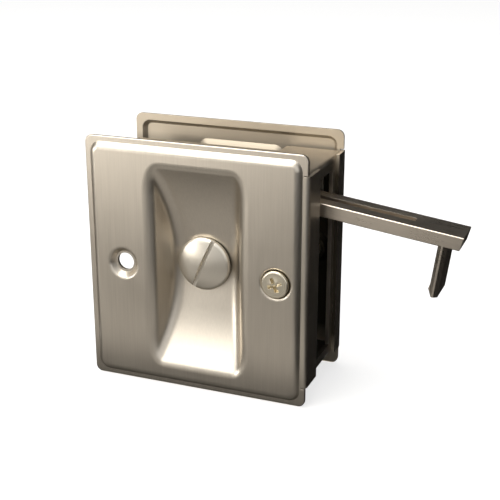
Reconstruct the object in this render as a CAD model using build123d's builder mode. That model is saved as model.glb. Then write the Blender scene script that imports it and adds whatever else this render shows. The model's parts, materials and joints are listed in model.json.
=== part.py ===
from build123d import *
from math import atan, cos, radians, sin, tan
import os

# Frame: the origin lies on the turn's axis, halfway between the two plates.
# +X runs to the door's edge, +Y from the front plate to the rear plate, +Z up. Millimetres.

# Stamped plates, one on each face of the door
plate_width = 63.5
plate_height = 69.85
plate_corner_radius = 2.0
sheet = 0.9
plate_gap = 29.2
rim_width = 1.5
rim_edge_radius = 0.3
field_rise = 1.3
field_corner_radius = 3.0
step_angle = 40.0
step_top_radius = 2.0

# Finger cup pressed into each plate, set a little towards the lock edge
pressing_shift = 0.8
cup_mouth_width = 26.0
cup_floor_width = 18.0
cup_depth = 9.0
cup_end_margin = 6.5
cup_floor_fillet = 3.5
cup_mouth_fillet = 3.6

# Screw holes and the dimples round them
screw_inset = 9.525
hole_shift = 1.35
screw_hole_radius = 2.45
dimple_mouth_radius = 4.3
dimple_depth = 1.6
dimple_angle = 38.0
dimple_mouth_fillet = 1.1

# Flanges folded in along the lock edge
flange_height = 58.6
front_flange_depth = 8.6
rear_flange_depth = 6.0
flange_proud = 0.4
fold_radius = 1.1
relief_height = 0.3

# Case frame: a strip folded to a C inside the door's notch
case_sheet = 1.1
case_height = 58.4
case_depth = 28.2
case_bend_radius = 1.3
bay_length = 15.8
tongue_width = 14.0
tongue_end_x = -27.0
window_width = 11.6
window_height = 51.4

# Hook bar: its slope as it hangs, its section, and its middle, which lies nearer to the rear plate
hang_angle = 7.5
bar_center_y = 1.1
bar_width = 10.6
bar_height = 3.7
bar_reach = 55.55
bar_tip_undercut = 0.5
bar_edge_radius = 0.3
bar_slot_width = 2.5
bar_slot_start = 3.1
bar_slot_end = 41.9
leg_thickness = 2.5
leg_setback = 3.65
leg_drop = 14.1
leg_chamfer = 1.0
barb_height = 3.4
barb_reach = 0.3
barb_nose = 0.8
tail_length = 5.5
heel_length = 2.4
lug_length = 2.2
slide_travel = 35.0

# Pivot pin with its two shoes, and the channel that guides them
pivot_x = 14.0
pivot_z = 19.8
pivot_radius = 1.5
pivot_head_radius = 2.9
pivot_head_thickness = 0.8
shoe_length = 7.0
shoe_height = 4.0
channel_sheet = 1.0
channel_end_x = 28.4
channel_lip = 2.2
stop_pin_x = 18.7
stop_pin_radius = 1.0
stop_pin_drop = 12.4
rivet_radius = 1.5
rivet_xs = (-19.0, 2.0)
sunk_head_flare = 0.9
sunk_head_angle = 90.0

# Turn: coin-slot button in front, thumb turn behind, one spindle and the lock cam
slot_lean = 23.4
button_radius = 7.5
button_rim = 1.6
button_dome = 0.8
button_edge_fillet = 0.45
button_lift = 0.7
coin_slot_width = 1.3
coin_slot_depth = 1.3
spindle_radius = 2.5
spindle_flat = 1.9
tenon_side = 3.2
tenon_length = 0.8
thumb_length = 14.4
thumb_width = 4.2
thumb_height = 6.2
thumb_taper = 5.0
thumb_fillet = 1.2
bushing_wall = 1.25
bushing_flange_radius = 5.2
bushing_flange_thickness = 0.75
bushing_proud = 0.4
cam_hub_radius = 5.0
cam_hub_length = 10.4
cam_thickness = 4.0
cam_height = 12.4
cam_lap = 0.8
cam_swing = 90.0
washer_thickness = 0.4
washer_rise = 0.35

# Screw from the front into a threaded post from the rear
screw_radius = 1.75
screw_head_radius = 3.75
screw_head_sink = 0.3
screw_head_band = 0.9
screw_head_dome = 0.35
screw_head_fillet = 0.5
screw_tip_y = 9.0
recess_length = 4.2
recess_width = 1.2
recess_depth = 1.5
recess_taper = 12.0
post_radius = 2.35
post_end_y = -2.0
post_bore_end_y = 12.0

# Clearances
slide_gap = 0.5
shoe_gap = 0.1
running_gap = 0.05
press_gap = 0.02
seat_gap = 0.05
heel_gap = 0.25
cam_gap = 0.25

# Levels measured from the middle plane between the plates
rim_face = plate_gap / 2 + sheet
field_face = rim_face + field_rise
cup_floor = field_face - cup_depth
cup_back = cup_floor - sheet
dimple_floor = field_face - dimple_depth
screw_x = plate_width / 2 - screw_inset + hole_shift
free_hole_x = screw_inset + hole_shift - plate_width / 2
cup_half_length = plate_height / 2 - cup_end_margin
cup_floor_radius = (cup_half_length**2 + cup_depth**2) / (2 * cup_depth)
flange_face = plate_width / 2 + flange_proud
edge_face = flange_face - sheet
case_top = case_height / 2
cheek_inner = bar_width / 2 + slide_gap
cheek_outer = cheek_inner + channel_sheet
web_top = case_top - case_sheet
web_bottom = web_top - channel_sheet
slot_height = shoe_height + 2 * shoe_gap
button_back = cup_floor + button_lift
bushing_flange_face = cup_back - seat_gap - bushing_flange_thickness


def facing(side, level):
    """Plane square to Y at a distance from the middle, looking out of that side of the lock."""
    return Plane(origin=(0, side * level, 0), x_dir=(1, 0, 0), z_dir=(0, side, 0))


def cup_form(side, grow, mouth_level):
    """Solid form of the finger cup, grown by a sheet thickness for the back of the pressing."""
    slope = (cup_mouth_width - cup_floor_width) / (2 * cup_depth)
    spread = grow / cos(atan(slope))
    low_level = cup_floor - 2 * sheet
    mouth_half = cup_mouth_width / 2 + (mouth_level - field_face) * slope + spread
    low_half = cup_mouth_width / 2 + (low_level - field_face) * slope + spread
    with BuildPart() as form:
        with BuildSketch(Plane.XY):
            with BuildLine():
                Polyline(
                    (pressing_shift - mouth_half, side * mouth_level),
                    (pressing_shift + mouth_half, side * mouth_level),
                    (pressing_shift + low_half, side * low_level),
                    (pressing_shift - low_half, side * low_level),
                    close=True,
                )
            make_face()
        extrude(amount=plate_height / 2, both=True)
        with BuildSketch(Plane.YZ):
            with Locations((side * (cup_floor + cup_floor_radius), 0)):
                Circle(cup_floor_radius + grow)
        extrude(amount=plate_width / 2, both=True, mode=Mode.INTERSECT)
        fillet(form.edges().filter_by(GeomType.ELLIPSE), cup_floor_fillet + grow)
    return form.part


def stamped_plate(side, flange_depth):
    """One face plate: flat rim, raised field, finger cup, dimpled screw holes and a folded flange."""
    cup_recess = cup_form(side, 0, field_face + sheet)
    cup_back_form = cup_form(side, sheet, field_face - sheet / 2)
    step_inset = sheet * tan(radians(90 - step_angle) / 2)
    dimple_inset = sheet * tan(radians(90 - dimple_angle) / 2)
    holes = [(free_hole_x, 0), (screw_x, 0)]
    with BuildPart() as plate:
        # Flat blank, with the field pressed up from it
        with BuildSketch(facing(side, rim_face - sheet)):
            RectangleRounded(plate_width, plate_height, plate_corner_radius)
        extrude(amount=sheet)
        outer_face = plate.faces().sort_by(Axis.Y)[-1 if side > 0 else 0]
        fillet(outer_face.edges(), rim_edge_radius)
        field_width = plate_width - 2 * rim_width
        field_height = plate_height - 2 * rim_width
        with BuildSketch(facing(side, rim_face)):
            RectangleRounded(field_width, field_height, field_corner_radius)
        extrude(amount=field_rise, taper=step_angle)
        with BuildSketch(facing(side, rim_face - sheet)):
            RectangleRounded(
                field_width - 2 * step_inset,
                field_height - 2 * step_inset,
                field_corner_radius - step_inset,
            )
        extrude(amount=field_rise, taper=step_angle, mode=Mode.SUBTRACT)
        field_edges = plate.edges().filter_by_position(
            Axis.Y, side * field_face - sheet / 4, side * field_face + sheet / 4
        )
        fillet(field_edges, step_top_radius)

        # Finger cup
        add(cup_back_form)
        add(cup_recess, mode=Mode.SUBTRACT)
        mouth_edges = plate.edges().filter_by_position(
            Axis.Y, side * field_face - sheet / 4, side * field_face + sheet / 4
        )
        cup_reach = cup_mouth_width / 2 + sheet
        mouth_edges = mouth_edges.filter_by_position(
            Axis.X, pressing_shift - cup_reach, pressing_shift + cup_reach
        )
        mouth_edges = mouth_edges.filter_by_position(
            Axis.Z, -cup_half_length - sheet, cup_half_length + sheet
        )
        fillet(mouth_edges, cup_mouth_fillet)

        # Dimples with their screw holes
        with BuildSketch(facing(side, field_face - sheet)):
            with Locations(*holes):
                Circle(dimple_mouth_radius + dimple_inset)
        extrude(amount=-dimple_depth, taper=dimple_angle)
        with BuildSketch(facing(side, field_face)):
            with Locations(*holes):
                Circle(dimple_mouth_radius)
        extrude(amount=-dimple_depth, taper=dimple_angle, mode=Mode.SUBTRACT)
        rings = plate.edges().filter_by(GeomType.CIRCLE).filter_by_position(
            Axis.Y, side * field_face - press_gap, side * field_face + press_gap
        )
        dimple_mouths = [ring for ring in rings if abs(ring.radius - dimple_mouth_radius) < press_gap]
        fillet(dimple_mouths, dimple_mouth_fillet)
        with BuildSketch(facing(side, field_face)):
            with Locations(*holes):
                Circle(screw_hole_radius)
        extrude(amount=-2 * (dimple_depth + sheet), mode=Mode.SUBTRACT)

        # Hole in the cup floor for the turn's bushing
        with BuildSketch(facing(side, field_face)):
            Circle(spindle_radius + running_gap + bushing_wall + press_gap)
        extrude(amount=-2 * cup_depth, mode=Mode.SUBTRACT)

        # Flange folded in along the lock edge, freed from the rim by a notch at each end
        with BuildSketch(facing(side, rim_face)):
            with Locations((flange_face - sheet / 2, 0)):
                Rectangle(sheet, flange_height)
        extrude(amount=-flange_depth)
        with BuildSketch(facing(side, rim_face)):
            with Locations((plate_width / 2 - fold_radius / 2, 0)):
                with GridLocations(0, flange_height + relief_height, 1, 2):
                    Rectangle(fold_radius, relief_height)
        extrude(amount=-sheet, mode=Mode.SUBTRACT)
        upright = plate.edges().filter_by(Axis.Z)
        outer_fold = upright.filter_by_position(
            Axis.X, flange_face - press_gap, flange_face + press_gap
        )
        outer_fold = outer_fold.filter_by_position(
            Axis.Y, side * rim_face - press_gap, side * rim_face + press_gap
        )
        fillet(outer_fold.sort_by(Edge.length)[-1], fold_radius)
        upright = plate.edges().filter_by(Axis.Z)
        inner_fold = upright.filter_by_position(Axis.X, edge_face - press_gap, edge_face + press_gap)
        inner_level = side * (rim_face - sheet)
        inner_fold = inner_fold.filter_by_position(Axis.Y, inner_level - press_gap, inner_level + press_gap)
        fillet(inner_fold.sort_by(Edge.length)[-1], fold_radius - sheet)
    return plate


os.makedirs("parts", exist_ok=True)

# Front plate
front_plate = stamped_plate(-1, front_flange_depth)
front_plate.part.label = "front_plate"
export_step(front_plate.part, "parts/front_plate.step")

# Rear plate
rear_plate = stamped_plate(1, rear_flange_depth)
rear_plate.part.label = "rear_plate"
export_step(rear_plate.part, "parts/rear_plate.step")

# Case frame: top wall with a tongue, edge wall with the bar's window, bottom wall
bay_x = edge_face - bay_length
with BuildPart() as case_frame:
    with BuildSketch(Plane.XZ):
        with BuildLine():
            Polyline(
                (tongue_end_x, case_top),
                (edge_face, case_top),
                (edge_face, -case_top),
                (bay_x, -case_top),
                (bay_x, -case_top + case_sheet),
                (edge_face - case_sheet, -case_top + case_sheet),
                (edge_face - case_sheet, case_top - case_sheet),
                (tongue_end_x, case_top - case_sheet),
                close=True,
            )
        make_face()
    extrude(amount=case_depth / 2, both=True)
    bends = case_frame.edges().filter_by(Axis.Y)
    outer_bends = bends.filter_by_position(Axis.X, edge_face - press_gap, edge_face + press_gap)
    fillet(outer_bends, case_bend_radius)
    bends = case_frame.edges().filter_by(Axis.Y)
    inner_x = edge_face - case_sheet
    inner_bends = bends.filter_by_position(Axis.X, inner_x - press_gap, inner_x + press_gap)
    fillet(inner_bends, case_bend_radius - case_sheet)
    # The tongue passes between the backs of the two cups
    with BuildSketch(Plane.XY.offset(case_top)):
        with Locations(((bay_x + tongue_end_x) / 2, bar_center_y)):
            with GridLocations(0, tongue_width + case_depth, 1, 2):
                Rectangle(bay_x - tongue_end_x, case_depth)
    extrude(amount=-2 * case_sheet, mode=Mode.SUBTRACT)
    # Window for the hook bar
    with BuildSketch(Plane.YZ.offset(edge_face)):
        with Locations((bar_center_y, 0)):
            Rectangle(window_width, window_height)
    extrude(amount=-2 * case_sheet, mode=Mode.SUBTRACT)
    # Countersunk rivet holes and the stop pin's hole
    with Locations(*[(x, bar_center_y, case_top) for x in rivet_xs]):
        CounterSinkHole(
            rivet_radius + press_gap,
            rivet_radius + sunk_head_flare + press_gap,
            2 * case_sheet,
            sunk_head_angle,
        )
    with Locations((stop_pin_x, bar_center_y, case_top)):
        CounterSinkHole(
            stop_pin_radius + press_gap,
            stop_pin_radius + sunk_head_flare + press_gap,
            2 * case_sheet,
            sunk_head_angle,
        )
case_frame.part.label = "case_frame"
export_step(case_frame.part, "parts/case_frame.step")

# Guide channel: an upside-down U whose cheeks are slotted for the bar's pivot
bar_middle = Plane.XZ.offset(-bar_center_y)
slot_start = pivot_x - slide_travel - shoe_length / 2 - slide_gap
slot_stop = pivot_x + shoe_length / 2 + slide_gap
cheek_bottom = pivot_z - slot_height / 2 - channel_lip
with BuildPart() as guide_channel:
    with BuildSketch(Plane.YZ.offset(tongue_end_x).shift_origin((tongue_end_x, bar_center_y, 0))):
        with BuildLine():
            Polyline(
                (-cheek_outer, cheek_bottom),
                (-cheek_outer, web_top),
                (cheek_outer, web_top),
                (cheek_outer, cheek_bottom),
                (cheek_inner, cheek_bottom),
                (cheek_inner, web_bottom),
                (-cheek_inner, web_bottom),
                (-cheek_inner, cheek_bottom),
                close=True,
            )
        make_face()
    extrude(amount=channel_end_x - tongue_end_x)
    folds = guide_channel.edges().filter_by(Axis.X)
    outer_folds = folds.filter_by_position(Axis.Z, web_top - press_gap, web_top + press_gap)
    fillet(outer_folds, case_bend_radius)
    with BuildSketch(Plane.XZ):
        with Locations(((slot_start + slot_stop) / 2, pivot_z)):
            Rectangle(slot_stop - slot_start, slot_height)
    extrude(amount=2 * cheek_outer, both=True, mode=Mode.SUBTRACT)
    with Locations(*[(x, bar_center_y, web_top) for x in rivet_xs]):
        Hole(rivet_radius + press_gap, 2 * channel_sheet)
    with Locations((stop_pin_x, bar_center_y, web_top)):
        Hole(stop_pin_radius + press_gap, 2 * channel_sheet)
guide_channel.part.label = "guide_channel"
export_step(guide_channel.part, "parts/guide_channel.step")


def sunk_pin(radius, bottom):
    """Half section of a countersunk pin, from the top of the case frame down."""
    cone = sunk_head_flare / tan(radians(sunk_head_angle / 2))
    Polyline(
        (0, case_top),
        (radius + sunk_head_flare, case_top),
        (radius, case_top - cone),
        (radius, bottom),
        (0, bottom),
        close=True,
    )


# Rivets that hold the channel under the tongue
with BuildPart() as channel_rivets:
    for rivet_x in rivet_xs:
        with BuildSketch(bar_middle.shift_origin((rivet_x, bar_center_y, 0))):
            with BuildLine():
                sunk_pin(rivet_radius, web_bottom)
            make_face()
        revolve(axis=Axis((rivet_x, bar_center_y, 0), (0, 0, 1)))
channel_rivets.part.label = "channel_rivets"
export_step(channel_rivets.part, "parts/channel_rivets.step")

# Stop pin, hanging through the slot in the bar
with BuildPart() as stop_pin:
    with BuildSketch(bar_middle.shift_origin((stop_pin_x, bar_center_y, 0))):
        with BuildLine():
            sunk_pin(stop_pin_radius, web_bottom - stop_pin_drop)
        make_face()
    revolve(axis=Axis((stop_pin_x, bar_center_y, 0), (0, 0, 1)))
stop_pin.part.label = "stop_pin"
export_step(stop_pin.part, "parts/stop_pin.step")

# Hook bar, drawn about its pivot: u along the bar, w square to it
slope_cos = cos(radians(hang_angle))
slope_sin = sin(radians(hang_angle))
bar_pivot = (pivot_x, bar_center_y, pivot_z)
bar_side = Plane(origin=bar_pivot, x_dir=(slope_cos, 0, -slope_sin), z_dir=(0, -1, 0))
bar_half = bar_width / 2
bar_top = bar_height / 2
heel_top = (web_bottom - heel_gap - pivot_z - tail_length * slope_sin) / slope_cos
heel_end = heel_length - tail_length
lug_end = lug_length - tail_length
lug_bottom = cam_height + cam_gap - pivot_z
leg_outer = bar_reach - leg_setback
leg_inner = leg_outer - leg_thickness
leg_end = -bar_top - leg_drop
barb_tip = (leg_inner - barb_reach, leg_end + barb_height / 2)
with BuildPart() as hook_bar:
    with BuildSketch(bar_side):
        with BuildLine():
            Polyline(
                (-tail_length, lug_bottom),
                (lug_end, lug_bottom),
                (lug_end, -bar_top),
                (bar_reach - bar_tip_undercut, -bar_top),
                (bar_reach, bar_top),
                (heel_end + heel_top - bar_top, bar_top),
                (heel_end, heel_top),
                (-tail_length, heel_top),
                close=True,
            )
        make_face()
    extrude(amount=bar_half, both=True)
    long_edges = hook_bar.edges().filter_by(Axis(bar_pivot, bar_side.x_dir)).sort_by(Edge.length)
    fillet(long_edges[-4:], bar_edge_radius)
    # Hook leg across the bar, its two front corners bevelled
    leg_root = bar_side.from_local_coords((leg_outer, 0, 0))
    with BuildSketch(Plane(origin=leg_root, x_dir=bar_side.x_dir, z_dir=-bar_side.y_dir)):
        with BuildLine():
            Polyline(
                (-leg_thickness, -bar_half),
                (0, -bar_half),
                (0, bar_half - leg_chamfer),
                (-leg_chamfer, bar_half),
                (leg_chamfer - leg_thickness, bar_half),
                (-leg_thickness, bar_half - leg_chamfer),
                close=True,
            )
        make_face()
    extrude(amount=-leg_end)
    # Barb that catches behind the strike, above a sloped nose
    with BuildSketch(bar_side):
        with BuildLine():
            Polyline(
                (leg_inner, leg_end + barb_height),
                barb_tip,
                (barb_tip[0], leg_end),
                (leg_inner, leg_end),
                close=True,
            )
        make_face()
    extrude(amount=bar_half - leg_chamfer, both=True)
    with BuildSketch(bar_side):
        with BuildLine():
            Polyline(barb_tip, (leg_inner + barb_nose, leg_end), (barb_tip[0], leg_end), close=True)
        make_face()
    extrude(amount=bar_half, both=True, mode=Mode.SUBTRACT)
    # Pivot hole and the long guide slot
    with BuildSketch(bar_side):
        Circle(pivot_radius + running_gap)
    extrude(amount=bar_width, both=True, mode=Mode.SUBTRACT)
    slot_plane = Plane(origin=bar_side.origin, x_dir=bar_side.x_dir, z_dir=bar_side.y_dir)
    with BuildSketch(slot_plane):
        with Locations(((bar_slot_start + bar_slot_end) / 2, 0)):
            Rectangle(bar_slot_end - bar_slot_start, bar_slot_width)
    extrude(amount=2 * bar_height, both=True, mode=Mode.SUBTRACT)
hook_bar.part.label = "hook_bar"
export_step(hook_bar.part, "parts/hook_bar.step")

# Pivot pin, headed at both ends outside the cheeks
head_start = cheek_outer + 2 * shoe_gap
with BuildPart() as pivot_pin:
    with BuildSketch(bar_middle.shift_origin(bar_pivot)):
        Circle(pivot_radius)
    extrude(amount=head_start, both=True)
    for side in (-1, 1):
        with BuildSketch(facing(side, head_start + side * bar_center_y)):
            with Locations((pivot_x, -side * pivot_z)):
                Circle(pivot_head_radius)
        extrude(amount=pivot_head_thickness)
    rims = pivot_pin.edges().filter_by(GeomType.CIRCLE)
    fillet([rims.sort_by(Axis.Y)[0], rims.sort_by(Axis.Y)[-1]], pivot_head_thickness / 2)
pivot_pin.part.label = "pivot_pin"
export_step(pivot_pin.part, "parts/pivot_pin.step")


def slide_shoe(side):
    """Block on the pivot pin's end that runs in the cheek's slot."""
    with BuildPart() as shoe:
        with BuildSketch(facing(side, cheek_inner - shoe_gap + side * bar_center_y)):
            with Locations((pivot_x, -side * pivot_z)):
                Rectangle(shoe_length, shoe_height)
                Circle(pivot_radius + press_gap, mode=Mode.SUBTRACT)
        extrude(amount=channel_sheet + 2 * shoe_gap)
        fillet(shoe.edges().filter_by(Axis.Y), shoe_height / 8)
    return shoe


for side, name in ((-1, "front_slide_shoe"), (1, "rear_slide_shoe")):
    shoe = slide_shoe(side)
    shoe.part.label = name
    export_step(shoe.part, f"parts/{name}.step")

# Spindle, with a flat for the cam and a square tenon at each end
cam_line = (cos(radians(cam_swing)), 0, -sin(radians(cam_swing)))
cam_plane = Plane(origin=(0, 0, 0), x_dir=cam_line, z_dir=(0, -1, 0))
with BuildPart() as spindle:
    with BuildSketch(Plane.XZ):
        Circle(spindle_radius)
    extrude(amount=button_back - seat_gap, both=True)
    with BuildSketch(Plane.XZ):
        Rectangle(tenon_side, tenon_side, rotation=-slot_lean)
    extrude(amount=button_back + tenon_length - seat_gap, both=True)
    with BuildSketch(cam_plane):
        with Locations((-spindle_flat - spindle_radius / 2, 0)):
            Rectangle(spindle_radius, 2 * spindle_radius)
    extrude(amount=cam_hub_length / 2, both=True, mode=Mode.SUBTRACT)
spindle.part.label = "spindle"
export_step(spindle.part, "parts/spindle.step")

# Coin-slot button, a shallow domed disc
with BuildPart() as turn_button:
    with BuildSketch(Plane.XY):
        with BuildLine():
            rim_level = -button_back - button_rim
            Line((0, -button_back), (button_radius, -button_back))
            Line((button_radius, -button_back), (button_radius, rim_level))
            SagittaArc((button_radius, rim_level), (-button_radius, rim_level), button_dome)
            Line((-button_radius, rim_level), (-button_radius, -button_back))
            Line((-button_radius, -button_back), (0, -button_back))
        make_face()
        with Locations((-button_radius, 0)):
            Rectangle(2 * button_radius, 4 * field_face, mode=Mode.SUBTRACT)
    revolve(axis=Axis.Y)
    fillet(turn_button.edges().filter_by(GeomType.CIRCLE), button_edge_fillet)
    with BuildSketch(facing(-1, button_back + button_rim + button_dome)):
        Rectangle(coin_slot_width, 3 * button_radius, rotation=-slot_lean)
    extrude(amount=-coin_slot_depth, mode=Mode.SUBTRACT)
    with BuildSketch(facing(-1, button_back)):
        Rectangle(tenon_side + 2 * press_gap, tenon_side + 2 * press_gap, rotation=-slot_lean)
    extrude(amount=tenon_length, mode=Mode.SUBTRACT)
turn_button.part.label = "turn_button"
export_step(turn_button.part, "parts/turn_button.step")

# Thumb turn in the rear cup
with BuildPart() as thumb_turn:
    with BuildSketch(facing(1, button_back)):
        Circle(button_radius)
    extrude(amount=button_rim + button_dome / 2)
    fillet(thumb_turn.edges().filter_by(GeomType.CIRCLE), button_edge_fillet)
    with BuildSketch(facing(1, button_back + button_rim + button_dome / 2)):
        SlotOverall(thumb_length, thumb_width, rotation=90 + slot_lean)
    extrude(amount=thumb_height, taper=thumb_taper)
    fillet(thumb_turn.faces().sort_by(Axis.Y)[-1].edges(), thumb_fillet)
    with BuildSketch(facing(1, button_back)):
        Rectangle(tenon_side + 2 * press_gap, tenon_side + 2 * press_gap, rotation=slot_lean)
    extrude(amount=tenon_length, mode=Mode.SUBTRACT)
thumb_turn.part.label = "thumb_turn"
export_step(thumb_turn.part, "parts/thumb_turn.step")

# Lock cam: a hub on the spindle with one arm, drawn as it stands when locked, its flat top under the lug
with BuildPart() as lock_cam:
    with BuildSketch(cam_plane):
        with BuildLine():
            Polyline(
                (0, cam_hub_radius),
                (pivot_x - tail_length - cam_lap, cam_height),
                (pivot_x + lug_end + cam_lap, cam_height),
                (cam_hub_radius, 0),
                close=True,
            )
        make_face()
    extrude(amount=cam_thickness / 2, both=True)
    with BuildSketch(cam_plane):
        Circle(cam_hub_radius)
    extrude(amount=cam_hub_length / 2, both=True)
    with BuildSketch(cam_plane):
        Circle(spindle_radius + press_gap)
        with Locations((-spindle_flat - press_gap - spindle_radius / 2, 0)):
            Rectangle(spindle_radius, 2 * spindle_radius + 4 * press_gap, mode=Mode.SUBTRACT)
    extrude(amount=cam_hub_length, both=True, mode=Mode.SUBTRACT)
lock_cam.part.label = "lock_cam"
export_step(lock_cam.part, "parts/lock_cam.step")


def bushing(side):
    """Flanged bushing pressed into the cup floor from behind."""
    bore = spindle_radius + running_gap
    barrel = bore + bushing_wall
    with BuildPart() as sleeve:
        with BuildSketch(facing(side, bushing_flange_face)):
            Circle(bushing_flange_radius)
        extrude(amount=bushing_flange_thickness)
        with BuildSketch(facing(side, bushing_flange_face)):
            Circle(barrel)
        extrude(amount=cup_floor + bushing_proud - bushing_flange_face)
        with BuildSketch(facing(side, bushing_flange_face)):
            Circle(bore)
        extrude(amount=cup_depth, mode=Mode.SUBTRACT)
    return sleeve


def spring_washer(side):
    """Dished washer between the cam's hub and the bushing, which keeps the turn where it is put."""
    inner = spindle_radius + 2 * running_gap
    outer = cam_hub_radius
    level = side * (cam_hub_length / 2 + seat_gap)
    with BuildPart() as washer:
        with BuildSketch(Plane.XY):
            with BuildLine():
                Polyline(
                    (inner, level + side * washer_rise),
                    (outer, level),
                    (outer, level + side * washer_thickness),
                    (inner, level + side * (washer_rise + washer_thickness)),
                    close=True,
                )
            make_face()
        revolve(axis=Axis.Y)
    return washer


for side, end in ((-1, "front"), (1, "rear")):
    sleeve = bushing(side)
    sleeve.part.label = f"{end}_bushing"
    export_step(sleeve.part, f"parts/{end}_bushing.step")
    washer = spring_washer(side)
    washer.part.label = f"{end}_spring_washer"
    export_step(washer.part, f"parts/{end}_spring_washer.step")


def sunk_head(side):
    """Raised head with a conical underside and a cross recess, seated in the dimple."""
    seat = dimple_floor + seat_gap
    cone_top = seat + dimple_depth - screw_head_sink
    band_top = cone_top + screw_head_band
    crown = band_top + screw_head_dome
    foot_radius = screw_head_radius - (cone_top - seat) * tan(radians(dimple_angle))
    face_radius = screw_head_radius - screw_head_fillet
    head_edge = screw_x + screw_head_radius
    shoulder_cut = screw_head_fillet * (1 - cos(radians(45)))
    with BuildPart() as head:
        with BuildSketch(facing(side, seat)):
            with Locations((screw_x, 0)):
                Circle(foot_radius)
        extrude(amount=cone_top - seat, taper=-dimple_angle)
        with BuildSketch(Plane.XY):
            with BuildLine():
                Polyline(
                    (screw_x, side * crown),
                    (screw_x, side * cone_top),
                    (head_edge, side * cone_top),
                    (head_edge, side * (band_top - screw_head_fillet)),
                )
                ThreePointArc(
                    (head_edge, side * (band_top - screw_head_fillet)),
                    (head_edge - shoulder_cut, side * (band_top - shoulder_cut)),
                    (head_edge - screw_head_fillet, side * band_top),
                )
                RadiusArc(
                    (head_edge - screw_head_fillet, side * band_top),
                    (screw_x, side * crown),
                    side * (face_radius**2 + screw_head_dome**2) / (2 * screw_head_dome),
                )
            make_face()
        revolve(axis=Axis((screw_x, 0, 0), (0, 1, 0)))
        with BuildSketch(facing(side, crown)):
            with Locations((screw_x, 0)):
                Rectangle(recess_length, recess_width, rotation=slot_lean)
                Rectangle(recess_width, recess_length, rotation=slot_lean)
        extrude(amount=-recess_depth, taper=recess_taper, mode=Mode.SUBTRACT)
    return head.part


# Front screw
front_head = sunk_head(-1)
with BuildPart() as front_screw:
    add(front_head)
    with BuildSketch(facing(-1, dimple_floor + seat_gap)):
        with Locations((screw_x, 0)):
            Circle(screw_radius)
    extrude(amount=-(dimple_floor + seat_gap + screw_tip_y))
    tip_edges = front_screw.edges().filter_by(GeomType.CIRCLE)
    chamfer(tip_edges.sort_by(Axis.Y)[-1], screw_radius / 4)
front_screw.part.label = "front_screw"
export_step(front_screw.part, "parts/front_screw.step")

# Threaded post that the screw draws in from the rear
rear_head = sunk_head(1)
with BuildPart() as screw_post:
    add(rear_head)
    with BuildSketch(facing(1, dimple_floor + seat_gap)):
        with Locations((screw_x, 0)):
            Circle(post_radius)
    extrude(amount=-(dimple_floor + seat_gap - post_end_y))
    with BuildSketch(Plane.XZ.offset(-post_end_y)):
        with Locations((screw_x, 0)):
            Circle(screw_radius + press_gap)
    extrude(amount=-(post_bore_end_y - post_end_y), mode=Mode.SUBTRACT)
screw_post.part.label = "screw_post"
export_step(screw_post.part, "parts/screw_post.step")
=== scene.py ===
# %% [markdown]
# This lesson dresses a sliding door lock: two stamped nickel plates with finger cups, a coin-slot turn,
# a folded steel case, and a hook bar that slides out of the door's edge. The solids come from the CAD
# model as a fixed frame. They could be modelled again here by hand, but their shapes are already right,
# so this script gives them their finishes, their light and their camera, and remakes one small piece.

import json
import math

import bmesh
import bpy
from mathutils import Matrix, Vector


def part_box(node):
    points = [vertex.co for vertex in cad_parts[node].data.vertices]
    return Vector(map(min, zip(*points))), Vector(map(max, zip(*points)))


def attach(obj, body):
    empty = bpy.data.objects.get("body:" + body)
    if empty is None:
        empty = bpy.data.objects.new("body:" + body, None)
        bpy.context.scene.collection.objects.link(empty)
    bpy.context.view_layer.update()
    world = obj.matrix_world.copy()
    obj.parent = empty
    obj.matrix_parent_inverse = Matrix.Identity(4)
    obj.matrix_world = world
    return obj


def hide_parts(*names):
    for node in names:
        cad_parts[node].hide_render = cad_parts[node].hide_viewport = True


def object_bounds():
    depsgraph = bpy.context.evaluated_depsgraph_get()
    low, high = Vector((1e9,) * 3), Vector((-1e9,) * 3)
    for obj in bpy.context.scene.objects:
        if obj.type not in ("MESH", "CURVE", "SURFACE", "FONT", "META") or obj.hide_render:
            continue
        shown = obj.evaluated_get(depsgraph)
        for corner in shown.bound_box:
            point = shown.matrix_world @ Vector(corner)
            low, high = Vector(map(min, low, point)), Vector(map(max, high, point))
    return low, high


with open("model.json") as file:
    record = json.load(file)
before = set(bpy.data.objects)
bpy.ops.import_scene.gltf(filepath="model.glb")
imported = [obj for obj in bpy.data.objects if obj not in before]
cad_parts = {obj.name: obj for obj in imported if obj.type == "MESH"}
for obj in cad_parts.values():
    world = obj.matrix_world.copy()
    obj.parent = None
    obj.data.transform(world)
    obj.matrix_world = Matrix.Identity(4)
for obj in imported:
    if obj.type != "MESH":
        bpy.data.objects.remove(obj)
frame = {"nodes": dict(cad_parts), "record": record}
cad_low, cad_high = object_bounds()
scene = bpy.context.scene
MM = 0.001
print("nodes:", len(frame["nodes"]), "box in mm:", [round(v / MM, 1) for v in cad_high - cad_low])

# %% [markdown]
# The camera stands in front of the lock, a little to the right and above. It could be set by eye, but its
# place was worked out from the corners of the two plates, taken at the usual size of such locks. A lens of
# 77 mm on a 36 mm sensor then gives the photograph's perspective with no shift.

# %% Camera
camera_place = (0.113334, -0.260455, 0.100880)
camera_azimuth = math.radians(21.659)
camera_elevation = math.radians(19.388)
camera_data = bpy.data.cameras.new("camera")
camera_data.sensor_width = 36.0
camera_data.lens = 77.07
camera_data.clip_start = 0.01
camera = bpy.data.objects.new("camera", camera_data)
camera.location = camera_place
camera.rotation_euler = (math.pi / 2 - camera_elevation, 0.0, camera_azimuth)
scene.collection.objects.link(camera)
scene.camera = camera
scene.view_settings.view_transform = "Standard"
print("camera at", [round(v, 3) for v in camera.location])

# %% [markdown]
# Every finish, the floor and the sky are made of shader nodes. Adding a node takes three or four lines in
# Blender's Python, so three small helpers keep the later cells short. The last one tells which rays see the
# white studio: those from the camera, those from a shiny surface, and those through glass.

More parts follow.
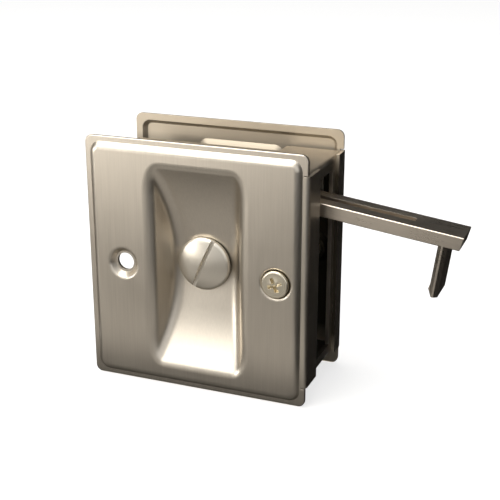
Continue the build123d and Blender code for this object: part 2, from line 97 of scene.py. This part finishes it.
# %% Node helpers
def new_tree(owner):
    """Empty node tree of a material or a world."""
    owner.use_nodes = True
    owner.node_tree.nodes.clear()
    return owner.node_tree


def add_node(tree, kind, sockets=None, **properties):
    """One node with its sockets and properties set."""
    made = tree.nodes.new(kind)
    for name, value in properties.items():
        setattr(made, name, value)
    for name, value in (sockets or {}).items():
        made.inputs[name].default_value = value
    return made


def seen_ray(tree):
    """1 for rays from the camera, from a shiny bounce or through glass, and 0 for the others."""
    path = add_node(tree, "ShaderNodeLightPath")
    shiny = add_node(tree, "ShaderNodeMath", operation="MAXIMUM")
    tree.links.new(path.outputs["Is Camera Ray"], shiny.inputs[0])
    tree.links.new(path.outputs["Is Glossy Ray"], shiny.inputs[1])
    seen = add_node(tree, "ShaderNodeMath", operation="MAXIMUM")
    tree.links.new(shiny.outputs[0], seen.inputs[0])
    tree.links.new(path.outputs["Is Transmission Ray"], seen.inputs[1])
    return seen.outputs[0]


print("node helpers ready")

# %% [markdown]
# The lock stands on a plain white sheet, just under the lower edges of its plates. A cube would do, but one
# flat grid is all that the camera ever sees of a table.

# %% Floor sheet
floor_gap = 0.2 * MM
floor_level = cad_low.z - floor_gap
floor_half = 3.0
sheet = bmesh.new()
bmesh.ops.create_grid(sheet, x_segments=1, y_segments=1, size=floor_half)
bmesh.ops.translate(sheet, verts=sheet.verts, vec=(0, 0, floor_level))
floor_mesh = bpy.data.meshes.new("floor")
sheet.to_mesh(floor_mesh)
sheet.free()
floor = bpy.data.objects.new("floor", floor_mesh)
scene.collection.objects.link(floor)
print("floor at", round(floor_level / MM, 2), "mm")

# %% [markdown]
# A sheet lit hard enough to be white would flood the metal with light. So the paper is grey and lit gently,
# and a glow that only the camera and shiny surfaces see lifts it to white. The soft shadow of the lock stays
# on it.

# %% Floor paper
paper_grey = 0.45
floor_glow = 0.70
floor_paper = bpy.data.materials.new("floor_paper")
tree = new_tree(floor_paper)
paper = add_node(tree, "ShaderNodeBsdfDiffuse", {"Color": (paper_grey, paper_grey, paper_grey, 1)})
lift = add_node(tree, "ShaderNodeMath", {1: floor_glow}, operation="MULTIPLY")
tree.links.new(seen_ray(tree), lift.inputs[0])
glow = add_node(tree, "ShaderNodeEmission", {"Color": (1, 1, 1, 1)})
tree.links.new(lift.outputs[0], glow.inputs["Strength"])
both = add_node(tree, "ShaderNodeAddShader")
tree.links.new(paper.outputs[0], both.inputs[0])
tree.links.new(glow.outputs[0], both.inputs[1])
surface = add_node(tree, "ShaderNodeOutputMaterial")
tree.links.new(both.outputs[0], surface.inputs["Surface"])
floor_mesh.materials.append(floor_paper)
print("floor paper", paper_grey, "with a glow of", floor_glow)

# %% [markdown]
# Round the table is a plain bright room. Its sky could light everything by itself, but then no edge would
# stand out. It lights the lock at less than half strength, and still looks white to the camera and in the
# metal, as the backdrop of a product photograph does.

# %% Room
room_strength = 0.45
room = bpy.data.worlds.new("room")
scene.world = room
tree = new_tree(room)
dim = add_node(tree, "ShaderNodeBackground", {"Color": (1, 1, 1, 1), "Strength": room_strength})
white = add_node(tree, "ShaderNodeBackground", {"Color": (1, 1, 1, 1), "Strength": 1.0})
choice = add_node(tree, "ShaderNodeMixShader")
tree.links.new(seen_ray(tree), choice.inputs[0])
tree.links.new(dim.outputs[0], choice.inputs[1])
tree.links.new(white.outputs[0], choice.inputs[2])
sky = add_node(tree, "ShaderNodeOutputWorld")
tree.links.new(choice.outputs[0], sky.inputs["Surface"])
print("room strength", room_strength)

# %% [markdown]
# Satin metal is drawn by what stands round it. One softbox hangs in front and above: the lower half of the
# finger cup looks up at it and goes white. A low one at the front left brightens the turn and the plate's
# upper corner, and one overhead catches the rolled edges and the lower walls of the dimples. Sun or point
# lamps could do it too, but they would draw hard dots on the rolled edges.

# %% Softboxes
def aim(item, place, target):
    """Put a lamp or a card at a place, its face towards a target."""
    item.location = Vector(place)
    item.rotation_euler = (Vector(target) - Vector(place)).to_track_quat("-Z", "Y").to_euler()


def softbox(name, place, width, height, watts, tint):
    """Rectangular lamp that faces the middle of the lock."""
    data = bpy.data.lights.new(name, "AREA")
    data.shape = "RECTANGLE"
    data.size = width
    data.size_y = height
    data.energy = watts
    data.color = tint
    lamp = bpy.data.objects.new(name, data)
    aim(lamp, place, (0, 0, 0))
    scene.collection.objects.link(lamp)
    print(name, "radiance", round(watts / (math.pi * width * height), 2))


warm = (1.0, 0.965, 0.90)
pale = (1.0, 0.975, 0.93)
softbox("key_softbox", (-0.30, -0.57, 0.49), width=0.70, height=0.46, watts=2.15, tint=warm)
softbox("low_softbox", (-0.52, -0.50, 0.04), width=0.28, height=0.15, watts=0.85, tint=warm)
softbox("top_softbox", (-0.20, -0.10, 0.75), width=0.70, height=0.60, watts=5.2, tint=pale)

# %% [markdown]
# Metal needs something dark to show as well, or it looks like white paper. A photographer stands cards just
# outside the picture for that. Dark paper could be lit like the rest, but its shade would then change with
# every lamp. So a card's paint is a glow of a set shade, and a colour ramp lets it fade along the card.

# %% Card paint
card_tint = (1.0, 0.95, 0.88)


def card_paint(name, height, shades):
    """Glow whose shade follows a ramp along the card's height; shades are pairs of position and grey."""
    paint = bpy.data.materials.new(name)
    tree = new_tree(paint)
    spot = add_node(tree, "ShaderNodeTexCoord")
    across = add_node(tree, "ShaderNodeSeparateXYZ")
    tree.links.new(spot.outputs["Object"], across.inputs[0])
    share = add_node(tree, "ShaderNodeMapRange", {"From Min": -height / 2, "From Max": height / 2})
    tree.links.new(across.outputs["Y"], share.inputs["Value"])
    fade = add_node(tree, "ShaderNodeValToRGB")
    stops = fade.color_ramp.elements
    while len(stops) < len(shades):
        stops.new(0.5)
    for stop, (position, grey) in zip(stops, shades):
        stop.position = position
        stop.color = (*[grey * part for part in card_tint], 1)
    tree.links.new(share.outputs[0], fade.inputs["Fac"])
    tone = add_node(tree, "ShaderNodeEmission", {"Strength": 1.0})
    tree.links.new(fade.outputs["Color"], tone.inputs["Color"])
    face = add_node(tree, "ShaderNodeOutputMaterial")
    tree.links.new(tone.outputs[0], face.inputs["Surface"])
    return paint


def even(grey):
    """One shade all over a card."""
    return [(0.0, grey), (1.0, grey)]


print("cards are tinted", card_tint)

# %% [markdown]
# A card itself is a flat grid. A board that everything sees would shade the lock and show in the picture, so
# this one is hidden from the camera, from dull surfaces and from shadows. Only reflections see it.

# %% A card for the reflections
def card(name, place, width, height, target, shades):
    """Card that only reflections see; its shade runs along its own Y from the first to the last of shades."""
    blank = bmesh.new()
    bmesh.ops.create_grid(blank, x_segments=1, y_segments=1, size=0.5)
    bmesh.ops.scale(blank, verts=blank.verts, vec=(width, height, 1))
    mesh = bpy.data.meshes.new(name)
    blank.to_mesh(mesh)
    blank.free()
    board = bpy.data.objects.new(name, mesh)
    aim(board, place, target)
    scene.collection.objects.link(board)
    board.visible_camera = False
    board.visible_diffuse = False
    board.visible_shadow = False
    mesh.materials.append(card_paint(name, height, shades))
    print(name, "at", [round(v, 3) for v in place])


print("card maker ready")

# %% [markdown]
# Seen from above, an upright plate mirrors the floor in front of it: its foot shows the near floor, its top
# the far floor. One grey card would make the plate flat, so the card in front is dark near the lock and light
# far away, with one paler band that shows low on the plate. A brighter card at the left lifts the plate's
# upper left corner and the turn. Dark ones lie under and beside the lock, where white floor would shine in
# its edge and its inside.

# %% Cards on the floor
card_lift = 0.4 * MM
near_y = -0.016
far_y = -0.41
lock_edge_x = 0.0325


def floor_card(name, x_span, y_span, shades, layer=1):
    """Card that lies on the floor, its shade from front to back; a higher layer covers a lower one."""
    x_middle = sum(x_span) / 2
    y_middle = sum(y_span) / 2
    place = (x_middle, y_middle, floor_level + layer * card_lift)
    ground = (x_middle, y_middle, -1)
    card(name, place, x_span[1] - x_span[0], y_span[1] - y_span[0], ground, shades)


plate_fade = [(0.0, 0.8), (0.43, 0.50), (0.69, 0.22), (0.88, 0.35), (0.92, 0.58), (0.964, 0.20), (1.0, 0.12)]
corner_fade = [(0.0, 2.4), (0.6, 1.6), (1.0, 0.4)]
floor_card("front_card", (-0.50, 0.50), (far_y, near_y), plate_fade)
floor_card("glow_card", (-0.415, -0.075), (-0.45, -0.15), corner_fade, layer=2)
floor_card("right_front_card", (0.05, 0.45), (far_y, near_y), even(0.02), layer=2)
floor_card("left_card", (-0.36, -0.06), (near_y, 0.11), even(0.03))
floor_card("under_card", (-0.055, lock_edge_x), (near_y, -near_y), even(0.01))
floor_card("side_card", (lock_edge_x, 0.62), (near_y, 0.60), even(0.01))

# %% [markdown]
# The cards that stand upright do the same for faces that mirror the horizon. A grey strip far in front shows
# in faces that lean back a little, such as the cup just below its middle. Dark walls at the left, behind and
# at the right keep the white room out of the hook bar's top, the folded edge and the gap between the plates.

# %% Standing cards
card("horizon_card", (-0.10, -0.62, 0.075), 0.60, 0.14, (-0.10, 0.0, 0.075), even(0.20))
card("left_wall", (-0.55, 0.22, 0.20), 0.80, 0.46, (0.0, 0.22, 0.20), even(0.03))
card("back_card", (-0.20, 0.60, 0.50), 0.90, 0.84, (-0.20, 0.0, 0.50), even(0.01))
card("corner_card", (0.42, 0.60, 0.54), 0.54, 1.16, (0.42, 0.0, 0.54), even(0.01))
card("right_card", (0.60, 0.15, 0.46), 0.90, 1.00, (0.0, 0.15, 0.46), even(0.02))

# %% [markdown]
# The plates are stamped from sheet and plated with nickel, then brushed upright with a fine abrasive. A plain
# metal shader would look like chrome, and a picture of scratches would blur when seen close. A noise that is
# stretched along the brushing gives hair-fine streaks at any size. It reads the piece's own coordinates, so
# the streaks stay with the piece when it moves.

# %% Brush marks
def streaks(tree, grain, turn=(0, 0, 0)):
    """Noise stretched by grain, in lines per metre along each axis of the piece."""
    spot = add_node(tree, "ShaderNodeTexCoord")
    stretch = add_node(tree, "ShaderNodeMapping", {"Scale": grain})
    if any(turn):
        level = add_node(tree, "ShaderNodeMapping", {"Rotation": turn})
        tree.links.new(spot.outputs["Object"], level.inputs["Vector"])
        tree.links.new(level.outputs[0], stretch.inputs["Vector"])
    else:
        tree.links.new(spot.outputs["Object"], stretch.inputs["Vector"])
    lines = add_node(tree, "ShaderNodeTexNoise", {"Scale": 1.0, "Detail": 4.0, "Roughness": 0.6})
    tree.links.new(stretch.outputs[0], lines.inputs["Vector"])
    return lines.outputs["Fac"]


print("brush marks ready")

# %% [markdown]
# Marks show in three ways: in the colour, in how rough the metal is, and as fine relief. Each could have a
# noise of its own, but all three read the same one here, so they agree. The colour comes first: a ramp makes
# the hollows of the marks a little darker.

# %% Colour of the marks
hollow_shade = 0.92


def marked_tone(tree, lines, color):
    """Colour that is a little darker in the hollows of the marks."""
    shade = add_node(tree, "ShaderNodeValToRGB")
    dark, light = shade.color_ramp.elements
    dark.position = 0.3
    dark.color = (*[part * hollow_shade for part in color], 1)
    light.position = 0.7
    light.color = (*color, 1)
    tree.links.new(lines, shade.inputs["Fac"])
    return shade.outputs["Color"]


print("hollows at", hollow_shade, "of the colour")

# %% [markdown]
# Brushed metal is rougher in some streaks than in others, and hands leave faint cloudy prints on it. The
# prints could be painted by hand, but nobody knows where they are, so a second, soft noise is added to the
# roughness of the marks.

# %% Roughness of the marks
clouds_per_metre = 90.0


def marked_gloss(tree, lines, roughness, cloud):
    """Roughness that follows the marks and, in soft clouds, the touch of hands."""
    fine = add_node(tree, "ShaderNodeMapRange", {"To Min": roughness - 2 * cloud, "To Max": roughness})
    tree.links.new(lines, fine.inputs["Value"])
    spot = add_node(tree, "ShaderNodeTexCoord")
    handled = add_node(tree, "ShaderNodeTexNoise", {"Scale": clouds_per_metre, "Detail": 3.0})
    tree.links.new(spot.outputs["Object"], handled.inputs["Vector"])
    total = add_node(tree, "ShaderNodeMath", {1: 2 * cloud}, operation="MULTIPLY_ADD")
    tree.links.new(handled.outputs["Fac"], total.inputs[0])
    tree.links.new(fine.outputs[0], total.inputs[2])
    return total.outputs[0]


print("clouds per metre:", clouds_per_metre)

# %% [markdown]
# The marks are far too fine to model, so a bump node tilts the surface's light by them. Cut sheet has no
# perfectly sharp edge either. The edges could be bevelled in the mesh, but the solids of the frame stay as
# they are, so a bevel node rounds only the way they catch light.

# %% Relief of the marks
mark_height = 0.1 * MM


def marked_surface(tree, lines, depth, round_edge):
    """Surface with the marks as fine relief and its sharp edges softened."""
    rounded = add_node(tree, "ShaderNodeBevel", {"Radius": round_edge}, samples=4)
    relief = add_node(tree, "ShaderNodeBump", {"Strength": depth, "Distance": mark_height})
    tree.links.new(lines, relief.inputs["Height"])
    tree.links.new(rounded.outputs[0], relief.inputs["Normal"])
    return relief.outputs[0]


print("marks are", round(mark_height / MM, 2), "mm high at full strength")

# %% [markdown]
# Nobody brushes the inside of a lock. Its inner faces are plain sheet, and deep between the plates a painted
# shade makes them almost black. They could be given their own material, but each plate is one mesh with one
# slot. So the shader itself finds them: a face whose normal points to the middle of the lock is inside.

# %% Inner faces
fade_depth = 6 * MM


def inner_faces(tree, across):
    """1 on faces that look at the middle of the lock, 0 on those that look away; across weighs the axes."""
    spot = add_node(tree, "ShaderNodeTexCoord")
    place = add_node(tree, "ShaderNodeMapping", {"Scale": across})
    tree.links.new(spot.outputs["Object"], place.inputs["Vector"])
    outward = add_node(tree, "ShaderNodeVectorMath", operation="DOT_PRODUCT")
    tree.links.new(place.outputs[0], outward.inputs[0])
    tree.links.new(spot.outputs["Normal"], outward.inputs[1])
    inside = add_node(tree, "ShaderNodeMath", {1: 0.0}, operation="LESS_THAN")
    tree.links.new(outward.outputs["Value"], inside.inputs[0])
    return inside.outputs[0]


def depth_inside(tree, half_height):
    """0 at the open top and foot of the lock, rising to 1 a few millimetres inside; it sets the painted
    shade.
    """
    spot = add_node(tree, "ShaderNodeTexCoord")
    split = add_node(tree, "ShaderNodeSeparateXYZ")
    tree.links.new(spot.outputs["Object"], split.inputs[0])
    height = add_node(tree, "ShaderNodeMath", operation="ABSOLUTE")
    tree.links.new(split.outputs["Z"], height.inputs[0])
    span = {"From Min": half_height, "From Max": half_height - fade_depth}
    depth = add_node(tree, "ShaderNodeMapRange", span)
    tree.links.new(height.outputs[0], depth.inputs["Value"])
    return depth.outputs[0]


print("inner faces fade over", round(fade_depth / MM, 1), "mm")

# %% [markdown]
# A Mix node has one pair of inputs for each kind of value, all under the same names, so they are picked by
# number. With a helper for that, the inner colour fades with depth to a painted shade, near black, and then
# takes the place of the brushed colour on the inner faces. The gloss is exchanged the same way.

# %% Shade inside
mix_sockets = {"FLOAT": (2, 3, 0), "RGBA": (6, 7, 2)}
# The colour below is painted shade: it stands for the dark deep between the plates and inside the case.
painted_inner_shade = (0.07, 0.06, 0.045)


def mix(tree, kind, factor, first, second):
    """Mix of two values of a kind; each is an output to link or a plain value to set."""
    first_input, second_input, result = mix_sockets[kind]
    blend = add_node(tree, "ShaderNodeMix", data_type=kind)
    tree.links.new(factor, blend.inputs["Factor"])
    for index, value in ((first_input, first), (second_input, second)):
        if isinstance(value, bpy.types.NodeSocket):
            tree.links.new(value, blend.inputs[index])
        else:
            blend.inputs[index].default_value = value
    return blend.outputs[result]


def shade_inside(tree, tone, gloss, across, half_height, color, roughness):
    """Tone and gloss with the inner faces plain, and darkened by a painted shade away from the open ends."""
    inside = inner_faces(tree, across)
    # The plain inner colour fades with depth to the painted shade.
    plain = mix(tree, "RGBA", depth_inside(tree, half_height), (*color, 1), (*painted_inner_shade, 1))
    return mix(tree, "RGBA", inside, tone, plain), mix(tree, "FLOAT", inside, gloss, roughness)


print("grime colour", painted_inner_shade)

# %% [markdown]
# Every metal of the lock could be wired by hand in the shader editor, but they differ only in their marks,
# colour and gloss. So one function builds them all. It is given the function that makes the marks, and
# brushed and lathe-turned pieces share the rest.

# %% Metal
def metal(name, color, roughness, marks, depth=0.02, cloud=0.05, round_edge=0.15 * MM, inner=None):
    """Metal whose marks, made by the given function, show in its colour, roughness and surface."""
    made = bpy.data.materials.new(name)
    tree = new_tree(made)
    lines = marks(tree)
    tone = marked_tone(tree, lines, color)
    gloss = marked_gloss(tree, lines, roughness, cloud)
    if inner:
        tone, gloss = shade_inside(tree, tone, gloss, **inner)
    shader = add_node(tree, "ShaderNodeBsdfPrincipled", {"Metallic": 1.0})
    tree.links.new(tone, shader.inputs["Base Color"])
    tree.links.new(gloss, shader.inputs["Roughness"])
    tree.links.new(marked_surface(tree, lines, depth, round_edge), shader.inputs["Normal"])
    face = add_node(tree, "ShaderNodeOutputMaterial")
    tree.links.new(shader.outputs[0], face.inputs["Surface"])
    print(name, "roughness about", roughness)
    return made


print("metal ready")

# %% [markdown]
# The plates are brushed upright, so their noise is fine across and long in height. The case could wear the
# same finish, but it is folded from plated strip that was never brushed, so it is darker and its marks are
# broad and soft. Both have an inside: the backs of the plates, and the hollow of the case.

# %% Plates and case
finish_of = {}
upright_grain = (2600, 2600, 70)
strip_grain = (900, 250, 250)
# On the inner faces a painted shade sets in at half_height and is full a few millimetres further in.
plate_inside = {
    "across": (0, 1, 0), "half_height": 29.5 * MM, "color": (0.66, 0.58, 0.465), "roughness": 0.55,
}
case_inside = {
    "across": (1, 0, 1), "half_height": 35 * MM, "color": (0.40, 0.35, 0.28), "roughness": 0.5,
}
finish_of["satin_nickel_plate"] = metal(
    "satin_nickel_plate", (0.62, 0.565, 0.485), 0.34,
    lambda tree: streaks(tree, upright_grain), inner=plate_inside,
)
finish_of["case_steel"] = metal(
    "case_steel", (0.50, 0.45, 0.38), 0.38,
    lambda tree: streaks(tree, strip_grain), cloud=0.08, inner=case_inside,
)

# %% [markdown]
# The hook bar is a casting that was linished along its length before it was plated. The streaks of the plates
# would cross it, and level ones would run off its edge, because the bar hangs 7.5 degrees below level. A
# mapping turned by that angle lines them up with the bar.

# %% Hook bar finish
hang_angle = math.radians(7.5)
along_grain = (90, 3000, 3000)
finish_of["bar_nickel"] = metal(
    "bar_nickel", (0.74, 0.66, 0.56), 0.30,
    lambda tree: streaks(tree, along_grain, (0, -hang_angle, 0)), cloud=0.06, round_edge=0.05 * MM,
)

# %% [markdown]
# The turn, the screw and the bushings come off a lathe, and straight streaks would look wrong on them. Their
# tool marks are rings, so the noise is read by the distance from an axis and not along a line. The screw is
# the brightest: it is plated but not brushed.

# %% Lathe-turned finishes
def rings(tree, center, pitch):
    """Fine uneven rings round the Y axis through center, as a lathe leaves them."""
    spot = add_node(tree, "ShaderNodeTexCoord")
    flat = add_node(tree, "ShaderNodeMapping", {"Location": tuple(-part for part in center)})
    tree.links.new(spot.outputs["Object"], flat.inputs["Vector"])
    split = add_node(tree, "ShaderNodeSeparateXYZ")
    tree.links.new(flat.outputs[0], split.inputs[0])
    disc = add_node(tree, "ShaderNodeCombineXYZ")
    tree.links.new(split.outputs["X"], disc.inputs["X"])
    tree.links.new(split.outputs["Z"], disc.inputs["Y"])
    radius = add_node(tree, "ShaderNodeVectorMath", operation="LENGTH")
    tree.links.new(disc.outputs[0], radius.inputs[0])
    lines = add_node(tree, "ShaderNodeTexNoise", {"Scale": 1 / pitch, "Detail": 3.0}, noise_dimensions="1D")
    tree.links.new(radius.outputs["Value"], lines.inputs["W"])
    return lines.outputs["Fac"]


turn_axis = (0, 0, 0)
screw_low, screw_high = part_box("front_screw")
screw_axis = tuple((screw_low + screw_high) / 2)
finish_of["satin_nickel_turn"] = metal(
    "satin_nickel_turn", (0.76, 0.71, 0.62), 0.34,
    lambda tree: rings(tree, turn_axis, 0.12 * MM), depth=0.008,
)
finish_of["screw_nickel"] = metal(
    "screw_nickel", (0.86, 0.79, 0.64), 0.28, lambda tree: rings(tree, screw_axis, 0.2 * MM)
)
finish_of["bushing_brass"] = metal(
    "bushing_brass", (0.70, 0.52, 0.25), 0.28, lambda tree: rings(tree, turn_axis, 0.3 * MM)
)

# %% [markdown]
# Pins, rivets, cam and washers are zinc-plated steel that nobody looks at. A flat grey would nearly do, but
# it looks like plastic where it shows. They were never brushed, so their noise is the same along every axis,
# and the cloudiness of the plating is stronger.

# %% Inner steel
mottle = (400, 400, 400)
finish_of["mechanism_steel"] = metal(
    "mechanism_steel", (0.50, 0.49, 0.47), 0.30, lambda tree: streaks(tree, mottle), cloud=0.08
)

# %% [markdown]
# The coin-slot button is the one piece that is made again here. On the real lock its face is rolled off more
# towards the rim than in the CAD solid, and catches the light in its upper left half. A sphere could be cut
# for it, but a line of a few points that is spun round the turn's axis keeps the crown and the rim where the
# solid has them.

# %% Button profile
button_low, button_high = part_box("turn_button")
button_radius = button_high.x
roll = 1.15 * MM
edge_break = 0.35 * MM
face_cuts = 14
crown_y = button_low.y
rim_y = crown_y + roll
back_y = button_high.y
face_radius = button_radius - edge_break
corners = [
    (0, crown_y, 0),
    (face_radius, rim_y, 0),
    (button_radius, rim_y + edge_break, 0),
    (button_radius, back_y, 0),
    (0, back_y, 0),
]
blank = bmesh.new()
points = [blank.verts.new(corner) for corner in corners]
lines = [blank.edges.new(pair) for pair in zip(points, points[1:])]
bmesh.ops.subdivide_edges(blank, edges=lines[:1], cuts=face_cuts)
for point in blank.verts:
    if crown_y <= point.co.y <= rim_y:
        share = point.co.x / face_radius
        point.co.y = crown_y + (rim_y - crown_y) * share**2
print("profile points:", len(blank.verts))

# %% [markdown]
# A lathe makes the button by turning it, and spin does the same to the line. A Screw modifier could do it
# too, but the operator gives the mesh at once, ready to be cut. The first and last copies of the line meet,
# so they are merged, and the normals are turned outwards after that.

# %% Button blank
spin_steps = 96
weld_distance = 0.001 * MM
bmesh.ops.spin(
    blank, geom=blank.verts[:] + blank.edges[:], cent=(0, 0, 0), axis=(0, 1, 0),
    angle=2 * math.pi, steps=spin_steps, use_merge=True,
)
bmesh.ops.remove_doubles(blank, verts=blank.verts, dist=weld_distance)
bmesh.ops.recalc_face_normals(blank, faces=blank.faces)
blank_mesh = bpy.data.meshes.new("coin_button")
blank.to_mesh(blank_mesh)
blank.free()
button = bpy.data.objects.new("coin_button", blank_mesh)
scene.collection.objects.link(button)
print("button blank faces:", len(blank_mesh.polygons))

# %% [markdown]
# A slotting saw cuts the coin slot straight across the face, leaning as the turn stands when unlocked. The
# faces could be cut and moved one by one, but a Boolean modifier subtracts a bar as the saw does. Its result
# becomes the button's mesh, and the bar is thrown away.

# %% Coin slot
slot_lean = math.radians(23.4)
slot_width = 1.1 * MM
slot_depth = 1.55 * MM
saw = bmesh.new()
bmesh.ops.create_cube(saw, size=1.0)
bmesh.ops.scale(saw, verts=saw.verts, vec=(slot_width, 2 * slot_depth, 3 * button_radius))
bmesh.ops.rotate(saw, verts=saw.verts, matrix=Matrix.Rotation(slot_lean, 3, "Y"))
bmesh.ops.translate(saw, verts=saw.verts, vec=(0, button_low.y, 0))
saw_mesh = bpy.data.meshes.new("slotting_saw")
saw.to_mesh(saw_mesh)
saw.free()
saw_bar = bpy.data.objects.new("slotting_saw", saw_mesh)
scene.collection.objects.link(saw_bar)
cut = button.modifiers.new("coin_slot", "BOOLEAN")
cut.object = saw_bar
cut.solver = "EXACT"
bpy.context.view_layer.update()
button_mesh = bpy.data.meshes.new_from_object(button.evaluated_get(bpy.context.evaluated_depsgraph_get()))
button.modifiers.clear()
button.data = button_mesh
bpy.data.objects.remove(saw_bar)
bpy.data.meshes.remove(saw_mesh)
bpy.data.meshes.remove(blank_mesh)
print("coin button faces:", len(button_mesh.polygons))

# %% [markdown]
# The face is shaded smooth, and only edges sharper than 30 degrees, such as those of the slot, stay crisp.
# The button then takes the place of its CAD solid, turns with the spindle, and wears the same finish as the
# thumb turn.

# %% Button in its place
button_mesh.shade_smooth()
button_mesh.set_sharp_from_angle(angle=math.radians(30))
button_mesh.materials.clear()
button_mesh.materials.append(finish_of["satin_nickel_turn"])
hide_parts("turn_button")
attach(button, "turn")
print("coin button rides on the turn")

# %% [markdown]
# Each solid of the frame came with one plain material in one slot. The slots could be filled one by one, but
# the record already says which finish each piece wears, so a loop does it. The meshes stay as they are.

# %% Dress the pieces
for subpart in frame["record"]["subparts"]:
    dressed = frame["nodes"][subpart["node"]]
    dressed.material_slots[0].material = finish_of[subpart["material_slot"]]
